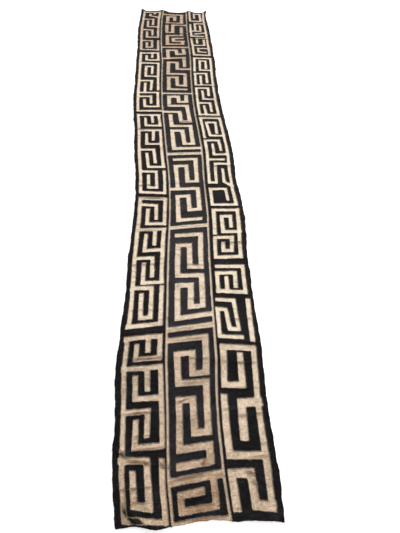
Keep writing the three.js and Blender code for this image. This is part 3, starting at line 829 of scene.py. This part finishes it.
cut_edges = {}
for seed, name in enumerate(panels):
    cut = [hand_cut(ring, name) for ring in top_rings("black_" + name)]
    rings = [ring for ring, _ in cut]
    edge_places = np.concatenate([place for _, place in cut])
    low, high = np.vstack(rings).min(axis=0), np.vstack(rings).max(axis=0)
    step = near_fill if name in near_panels else far_fill
    free_points, row_of = filling(rings, low, high, step)
    held = inside(free_points, rings)
    points, source, faces = triangulated(rings, free_points[held])
    row = np.concatenate([np.full(len(edge_places), edge_row), row_of[held]])[source]
    place = np.concatenate([edge_places, np.full(held.sum(), on_cut)])[source]
    x, y = points.T
    base = lift(x, y) + ground_thick
    quilted = quilt_height * waves(x, y, shortest=12 * mm, longest=40 * mm, seed=70 + seed)
    top = np.select(
        [row == edge_row, row == inner_grid],
        [rounded_share * turned_thick, single_thick + quilted], turned_thick,
    )
    bottom = np.where(place == on_border, border_gap - ground_thick, layer_gap)
    places = np.vstack([
        np.stack([x, y, base + top], axis=1), np.stack([x, y, base + bottom], axis=1),
    ])
    layer = len(points)
    sides = np.vstack([faces[:, [0, 1]], faces[:, [1, 2]], faces[:, [2, 0]]])
    codes, back = sides[:, 0] * layer + sides[:, 1], sides[:, 1] * layer + sides[:, 0]
    a, b = sides[~np.isin(codes, back)].T
    wall = np.vstack([
        np.stack([b, a, a + layer], axis=1), np.stack([b, a + layer, b + layer], axis=1),
    ])
    made = piece_from(
        "cutwork_" + name, places, np.vstack([faces, faces[:, ::-1] + layer, wall]), black
    )
    dress(made, name, places[:, 0], places[:, 1], seed + 30)
    a, b, c = points[faces].transpose(1, 0, 2)
    width, length = high - low
    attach(made, "root")
    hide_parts("black_" + name)
    cut_edges[name] = cut


# Overcast stitches
# The turned edges are sewn down with a twisted raffia thread that goes over the edge from the
# ground into the black. Each stitch shows as a short slanted pale bead, drawn twice its real width,
# every other one longer.

# The points of a stitch lie this far into the black, along its edge and above the turned raffia.
stitch_path = np.array([[2.5, -0.9, -0.2], [0.6, 0.0, 0.5], [-2.2, 1.0, -1.4]]) * mm
thread_radii = np.full(3, 0.75) * mm
long_stitch, short_stitch = 1.35, 0.75


def strands(paths, radius):
    """Closed three-sided strands along many paths at once: at each of a path's points three
    corners stand round it, in the plane across the path's way. The ends are capped."""
    count, stations, _ = paths.shape
    way = np.gradient(paths, axis=1)
    way /= np.maximum(np.linalg.norm(way, axis=2, keepdims=True), 1e-9)
    aside = np.cross(way, [0, 0, 1.0])
    aside /= np.maximum(np.linalg.norm(aside, axis=2, keepdims=True), 1e-9)
    over = np.cross(aside, way)
    turns = np.arange(3) * 2 * math.pi / 3 + math.pi / 2
    ring = np.cos(turns)[:, None] * aside[:, :, None] + np.sin(turns)[:, None] * over[:, :, None]
    places = (paths[:, :, None] + np.reshape(radius, (-1, stations, 1, 1)) * ring).reshape(-1, 3)
    base = (np.arange(count) * stations * 3)[:, None, None]
    station = (np.arange(stations - 1) * 3)[None, :, None]
    corner, after = np.arange(3), (np.arange(3) + 1) % 3
    a, b = base + station + corner, base + station + after
    walls = np.vstack([
        np.stack([a, b, b + 3], axis=-1).reshape(-1, 3),
        np.stack([a, b + 3, a + 3], axis=-1).reshape(-1, 3),
    ])
    start = base[:, 0] + corner[::-1]
    end = base[:, 0] + (stations - 1) * 3 + corner
    return places, np.vstack([walls, start, end])


# Raffia sewing thread, twisted from the pale inner leaf: slightly glossy pinkish cream with brown
# turns. It is drawn as one strand, and its colour changes every few millimetres along the seams.
sewing, tree = new_material("twisted raffia thread")
where = add(tree, "TexCoord").outputs["Object"]
noise = add(tree, "TexNoise", {"Vector": where, "Scale": 160.0, "Detail": 2.0}).outputs[0]
light = add(tree, "MapRange", {"Value": noise, "From Min": 0.36, "From Max": 0.58}).outputs[0]
shades = {0: light, 6: linear("#bc9c80"), 7: linear("#fbecd8")}
colour = add(tree, "Mix", shades, data_type="RGBA").outputs[2]
surface = add(tree, "BsdfPrincipled", {
    "Base Color": colour, "Roughness": 0.55, "Specular IOR Level": 0.35,
})
add(tree, "OutputMaterial", {"Surface": surface.outputs[0]})


def sewn(name, plan, heights, radius, material):
    """One piece of strands that ride with the cloth: each runs through its plan points at the
    given heights over the ground's upper face."""
    top = lift(plan[..., 0], plan[..., 1]) + ground_thick + heights
    places, faces = strands(np.concatenate([plan, top[..., None]], axis=2), radius)
    made = piece_from(name, places, faces, material)
    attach(made, "root")


for name, cut in cut_edges.items():
    plans = []
    for ring, place in cut:
        picked = np.flatnonzero(place == on_cut)
        stretch = np.where(picked % 2, long_stitch, short_stitch)[:, None, None]
        into = stretch * inward(ring)[picked][:, None]
        way = into[..., ::-1] * [1, -1]
        plans.append(ring[picked][:, None] + into * stitch_path[:, :1] + way * stitch_path[:, 1:2])
    plan = np.vstack(plans)
    heights = turned_thick + stitch_path[:, 2]
    sewn("overcast_" + name, plan, heights, thread_radii, sewing)


# Seam stitches
# The three bands are joined edge to edge by whip stitches of doubled raffia, from the black of the
# side band over the seam across the bare rim of the centre band. Thinner ones join its panels.

# The points of a stitch lie this far across the seam, along it and above the ground.
whip_path = np.array([[-2.4, -1.9, 1.1], [0.2, -0.8, 1.6], [3.4, 0.6, 0.8], [7.0, 1.8, -0.4]]) * mm
whip_step = 9 * mm
whip_radii = np.array([0.9, 1.3, 1.3, 0.8]) * mm
joint_path = np.array([[-2.6, -0.7, -0.6], [0.0, 0.0, 0.35], [2.6, 0.7, -0.6]]) * mm
joint_step = 5.5 * mm
joint_radii = np.full(3, 0.5) * mm


def whipped(points, step, path, sign):
    """Plan points of slanted stitches over a line of points: each crosses it squarely by the
    path's first column, towards the line's right for a sign of 1 and its left for -1, and runs
    along it by the second."""
    line = chain(points, 0, len(points) - 1, step)
    way = np.gradient(line, axis=0)
    way = (way / np.hypot(*way.T)[:, None])[:, None]
    right = way[..., ::-1] * [1, -1]
    return line[:, None] + sign * right * path[:, :1] + way * path[:, 1:2]


for band, side, sign in (("left", "right", 1), ("right", "left", -1)):
    seam = np.vstack([sides_of[name][side] for name in panels if name.startswith(band)])
    plan = whipped(seam, whip_step, whip_path, sign)
    sewn("whip_" + band, plan, whip_path[:, 2], whip_radii, sewing)
joints = [sides_of[name]["foot"] for name in panels if name.startswith("centre")][1:]
plan = np.vstack([whipped(joint, joint_step, joint_path, 1) for joint in joints])
sewn("joints_centre", plan, joint_path[:, 2], joint_radii, sewing)


# Loose fibres
# Ends of split leaf work loose from the weave along the border of the cloth, black ones from the
# two side bands and natural ones from the centre band. They are bent once and lie on the floor.
fibre_gap = 11 * mm
fibre_scatter = 4 * mm
fibre_lengths = (2 * mm, 6 * mm)
fibre_heights = np.array([0.2, -0.5, -0.8]) * mm
fibre_radii = np.array([0.35, 0.3, 0.2]) * mm
aim_spread = 0.6
bend_spread = 0.5
tip_share = 0.7
outward = {"left": math.pi, "right": 0.0, "foot": -math.pi / 2, "head": math.pi / 2}

draw = np.random.default_rng(5)
for tone, material in (("black", black), ("natural", natural)):
    plans = []
    for name, sides in sides_of.items():
        if name.startswith("centre") != (tone == "natural"):
            continue
        for side in sorted(free_sides(name)):
            line = chain(sides[side], 0, len(sides[side]) - 1, fibre_gap)[1:-1]
            line = line + draw.uniform(-fibre_scatter, fibre_scatter, line.shape)
            aim = outward[side] + draw.normal(0, aim_spread, len(line))
            bent = aim + draw.normal(0, bend_spread, len(line))
            size = draw.uniform(*fibre_lengths, len(line))[:, None]
            first = line + size * np.stack([np.cos(aim), np.sin(aim)], axis=1)
            second = first + tip_share * size * np.stack([np.cos(bent), np.sin(bent)], axis=1)
            plans.append(np.stack([line, first, second], axis=1))
    plan = np.vstack(plans)
    sewn("fibres_" + tone, plan, fibre_heights, fibre_radii, material)


# Size of the picture model
# The box round all the pieces above that are shown, save the floor, as its lowest and its highest
# corner in metres.
low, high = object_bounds()
